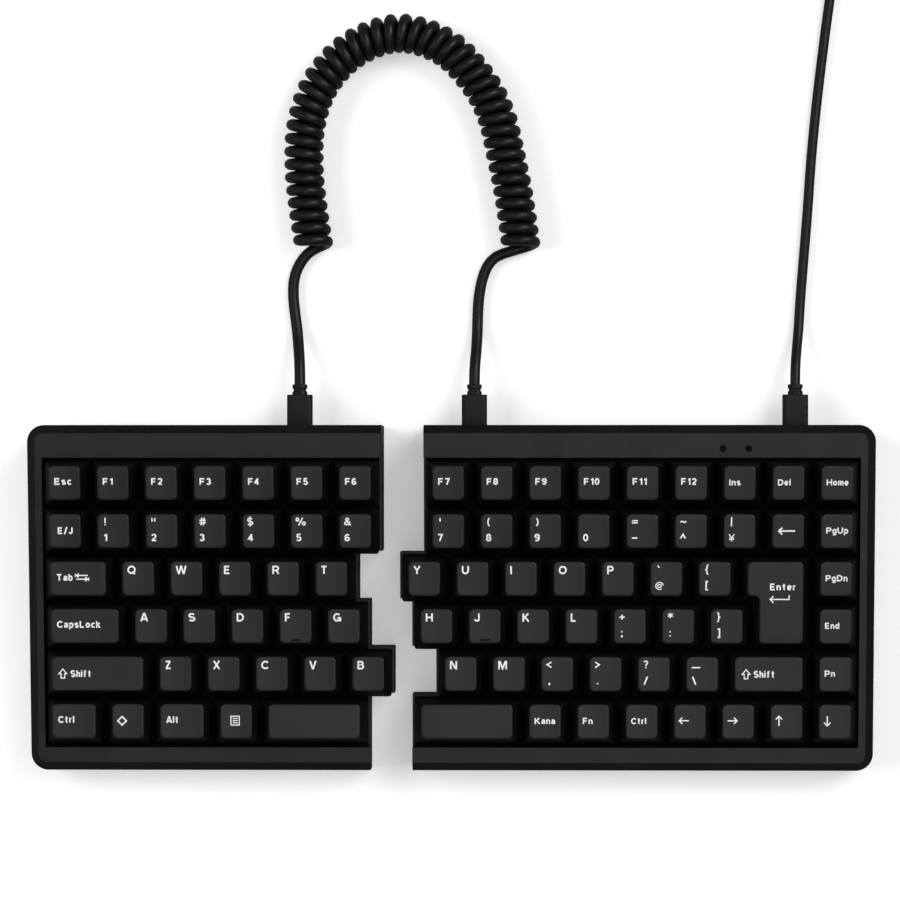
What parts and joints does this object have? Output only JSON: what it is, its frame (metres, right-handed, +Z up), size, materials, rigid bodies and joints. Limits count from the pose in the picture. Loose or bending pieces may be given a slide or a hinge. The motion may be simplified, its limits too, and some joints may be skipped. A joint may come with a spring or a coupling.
{
  "type": "split keyboard",
  "caption": "Ergonomic keyboard in two halves with dished black keys, joined by a curly cord and with a long plug-in cord to the computer.",
  "frame": {"origin": "on the desk, midway between the two cases' outer sides and between their front and rear", "axes": "+X to the typist's right, +Y to the rear edge that takes the cords, +Z up"},
  "size_m": [0.335, 0.3771, 0.0437],
  "materials": {
    "case": "fine spark texture, near-black",
    "key_cap": "satin dark grey with printed legends",
    "plate": "black powder coat on 1.5 mm steel",
    "board": "green solder mask",
    "switch": "moulded black",
    "foot_rubber": "matt",
    "screw": "zinc plated",
    "socket_metal": "nickel plated",
    "lens": "frosted",
    "plug_moulding": "satin moulded",
    "cord_jacket": "satin",
    "tie_strap": "satin black"
  },
  "bodies": {
    "left_half": {"left_bottom_case": "case", "left_top_case": "case", "left_switch_plate": "plate", "left_circuit_board": "board", "left_switch_housings": "switch", "left_stabilizers": "switch", "left_rubber_feet": "foot_rubber", "left_case_screws": "screw", "left_usb_socket": "socket_metal", "bridge_plug_left": "plug_moulding", "bridge_plug_left_shell": "socket_metal", "bridge_cord_left_lead": "cord_jacket", "bridge_cord_coil": "cord_jacket"},
    "right_half": {"right_bottom_case": "case", "right_top_case": "case", "right_switch_plate": "plate", "right_circuit_board": "board", "right_switch_housings": "switch", "right_stabilizers": "switch", "right_rubber_feet": "foot_rubber", "right_case_screws": "screw", "right_usb_sockets": "socket_metal", "indicator_lenses": "lens", "bridge_plug_right": "plug_moulding", "host_plug": "plug_moulding", "right_plug_shells": "socket_metal", "bridge_cord_right_lead": "cord_jacket", "host_cord": "cord_jacket", "host_cord_coil": "cord_jacket", "host_cord_tail": "cord_jacket", "host_cord_tie": "tie_strap", "usb_a_plug": "plug_moulding", "usb_a_plug_shell": "socket_metal"},
    "esc_key_body": {"esc_key": "key_cap"},
    "function_keys_left_body": {"function_keys_left": "key_cap"},
    "number_keys_left_body": {"number_keys_left": "key_cap"},
    "tab_key_body": {"tab_key": "key_cap"},
    "upper_letter_keys_left_body": {"upper_letter_keys_left": "key_cap"},
    "caps_lock_key_body": {"caps_lock_key": "key_cap"},
    "home_letter_keys_left_body": {"home_letter_keys_left": "key_cap"},
    "shift_key_left_body": {"shift_key_left": "key_cap"},
    "lower_letter_keys_left_body": {"lower_letter_keys_left": "key_cap"},
    "modifier_keys_left_body": {"modifier_keys_left": "key_cap"},
    "space_bar_left_body": {"space_bar_left": "key_cap"},
    "function_keys_right_body": {"function_keys_right": "key_cap"},
    "number_keys_right_body": {"number_keys_right": "key_cap"},
    "backspace_key_body": {"backspace_key": "key_cap"},
    "upper_letter_keys_right_body": {"upper_letter_keys_right": "key_cap"},
    "home_letter_keys_right_body": {"home_letter_keys_right": "key_cap"},
    "enter_key_body": {"enter_key": "key_cap"},
    "lower_letter_keys_right_body": {"lower_letter_keys_right": "key_cap"},
    "shift_key_right_body": {"shift_key_right": "key_cap"},
    "space_bar_right_body": {"space_bar_right": "key_cap"},
    "modifier_keys_right_body": {"modifier_keys_right": "key_cap"},
    "arrow_keys_body": {"arrow_keys": "key_cap"},
    "navigation_keys_body": {"navigation_keys": "key_cap"},
    "left_tilt_foot_outer_body": {"left_tilt_foot_outer": "case"},
    "left_tilt_foot_inner_body": {"left_tilt_foot_inner": "case"},
    "right_tilt_foot_outer_body": {"right_tilt_foot_outer": "case"},
    "right_tilt_foot_inner_body": {"right_tilt_foot_inner": "case"}
  },
  "joints": [
    {"name": "halves_apart", "type": "slide", "parent": "left_half", "child": "right_half", "axis": [1, 0, 0], "range_m": [-0.016, 0.06], "deforming": ["bridge_cord_left_lead", "bridge_cord_coil", "bridge_cord_right_lead"]},
    {"name": "esc_key_press", "type": "slide", "parent": "left_half", "child": "esc_key_body", "axis": [0, 0.1219, -0.9925], "range_m": [0, 0.004], "stiffness_N_per_m": 100, "springref_m": -0.003},
    {"name": "function_keys_left_press", "type": "slide", "parent": "left_half", "child": "function_keys_left_body", "axis": [0, 0.1219, -0.9925], "range_m": [0, 0.004], "stiffness_N_per_m": 600, "springref_m": -0.003},
    {"name": "number_keys_left_press", "type": "slide", "parent": "left_half", "child": "number_keys_left_body", "axis": [0, 0.1219, -0.9925], "range_m": [0, 0.004], "stiffness_N_per_m": 700, "springref_m": -0.003},
    {"name": "tab_key_press", "type": "slide", "parent": "left_half", "child": "tab_key_body", "axis": [0, 0.1219, -0.9925], "range_m": [0, 0.004], "stiffness_N_per_m": 100, "springref_m": -0.003},
    {"name": "upper_letter_keys_left_press", "type": "slide", "parent": "left_half", "child": "upper_letter_keys_left_body", "axis": [0, 0.1219, -0.9925], "range_m": [0, 0.004], "stiffness_N_per_m": 500, "springref_m": -0.003},
    {"name": "caps_lock_key_press", "type": "slide", "parent": "left_half", "child": "caps_lock_key_body", "axis": [0, 0.1219, -0.9925], "range_m": [0, 0.004], "stiffness_N_per_m": 100, "springref_m": -0.003},
    {"name": "home_letter_keys_left_press", "type": "slide", "parent": "left_half", "child": "home_letter_keys_left_body", "axis": [0, 0.1219, -0.9925], "range_m": [0, 0.004], "stiffness_N_per_m": 500, "springref_m": -0.003},
    {"name": "shift_key_left_press", "type": "slide", "parent": "left_half", "child": "shift_key_left_body", "axis": [0, 0.1219, -0.9925], "range_m": [0, 0.004], "stiffness_N_per_m": 100, "springref_m": -0.003},
    {"name": "lower_letter_keys_left_press", "type": "slide", "parent": "left_half", "child": "lower_letter_keys_left_body", "axis": [0, 0.1219, -0.9925], "range_m": [0, 0.004], "stiffness_N_per_m": 500, "springref_m": -0.003},
    {"name": "modifier_keys_left_press", "type": "slide", "parent": "left_half", "child": "modifier_keys_left_body", "axis": [0, 0.1219, -0.9925], "range_m": [0, 0.004], "stiffness_N_per_m": 400, "springref_m": -0.003},
    {"name": "space_bar_left_press", "type": "slide", "parent": "left_half", "child": "space_bar_left_body", "axis": [0, 0.1219, -0.9925], "range_m": [0, 0.004], "stiffness_N_per_m": 100, "springref_m": -0.003},
    {"name": "function_keys_right_press", "type": "slide", "parent": "right_half", "child": "function_keys_right_body", "axis": [0, 0.1219, -0.9925], "range_m": [0, 0.004], "stiffness_N_per_m": 600, "springref_m": -0.003},
    {"name": "number_keys_right_press", "type": "slide", "parent": "right_half", "child": "number_keys_right_body", "axis": [0, 0.1219, -0.9925], "range_m": [0, 0.004], "stiffness_N_per_m": 700, "springref_m": -0.003},
    {"name": "backspace_key_press", "type": "slide", "parent": "right_half", "child": "backspace_key_body", "axis": [0, 0.1219, -0.9925], "range_m": [0, 0.004], "stiffness_N_per_m": 100, "springref_m": -0.003},
    {"name": "upper_letter_keys_right_press", "type": "slide", "parent": "right_half", "child": "upper_letter_keys_right_body", "axis": [0, 0.1219, -0.9925], "range_m": [0, 0.004], "stiffness_N_per_m": 700, "springref_m": -0.003},
    {"name": "home_letter_keys_right_press", "type": "slide", "parent": "right_half", "child": "home_letter_keys_right_body", "axis": [0, 0.1219, -0.9925], "range_m": [0, 0.004], "stiffness_N_per_m": 700, "springref_m": -0.003},
    {"name": "enter_key_press", "type": "slide", "parent": "right_half", "child": "enter_key_body", "axis": [0, 0.1219, -0.9925], "range_m": [0, 0.004], "stiffness_N_per_m": 100, "springref_m": -0.003},
    {"name": "lower_letter_keys_right_press", "type": "slide", "parent": "right_half", "child": "lower_letter_keys_right_body", "axis": [0, 0.1219, -0.9925], "range_m": [0, 0.004], "stiffness_N_per_m": 600, "springref_m": -0.003},
    {"name": "shift_key_right_press", "type": "slide", "parent": "right_half", "child": "shift_key_right_body", "axis": [0, 0.1219, -0.9925], "range_m": [0, 0.004], "stiffness_N_per_m": 100, "springref_m": -0.003},
    {"name": "space_bar_right_press", "type": "slide", "parent": "right_half", "child": "space_bar_right_body", "axis": [0, 0.1219, -0.9925], "range_m": [0, 0.004], "stiffness_N_per_m": 100, "springref_m": -0.003},
    {"name": "modifier_keys_right_press", "type": "slide", "parent": "right_half", "child": "modifier_keys_right_body", "axis": [0, 0.1219, -0.9925], "range_m": [0, 0.004], "stiffness_N_per_m": 300, "springref_m": -0.003},
    {"name": "arrow_keys_press", "type": "slide", "parent": "right_half", "child": "arrow_keys_body", "axis": [0, 0.1219, -0.9925], "range_m": [0, 0.004], "stiffness_N_per_m": 400, "springref_m": -0.003},
    {"name": "navigation_keys_press", "type": "slide", "parent": "right_half", "child": "navigation_keys_body", "axis": [0, 0.1219, -0.9925], "range_m": [0, 0.004], "stiffness_N_per_m": 700, "springref_m": -0.003},
    {"name": "left_tilt_foot_outer_swing", "type": "hinge", "parent": "left_half", "child": "left_tilt_foot_outer_body", "pos_m": [-0.13155, 0.0487, 0.0035], "axis": [1, 0, 0], "range_deg": [0, 95]},
    {"name": "left_tilt_foot_inner_swing", "type": "hinge", "parent": "left_half", "child": "left_tilt_foot_inner_body", "pos_m": [-0.0634, 0.0487, 0.0035], "axis": [1, 0, 0], "range_deg": [0, 95]},
    {"name": "right_tilt_foot_outer_swing", "type": "hinge", "parent": "right_half", "child": "right_tilt_foot_outer_body", "pos_m": [0.13155, 0.0487, 0.0035], "axis": [1, 0, 0], "range_deg": [0, 95]},
    {"name": "right_tilt_foot_inner_swing", "type": "hinge", "parent": "right_half", "child": "right_tilt_foot_inner_body", "pos_m": [0.0253, 0.0487, 0.0035], "axis": [1, 0, 0], "range_deg": [0, 95]}
  ]
}
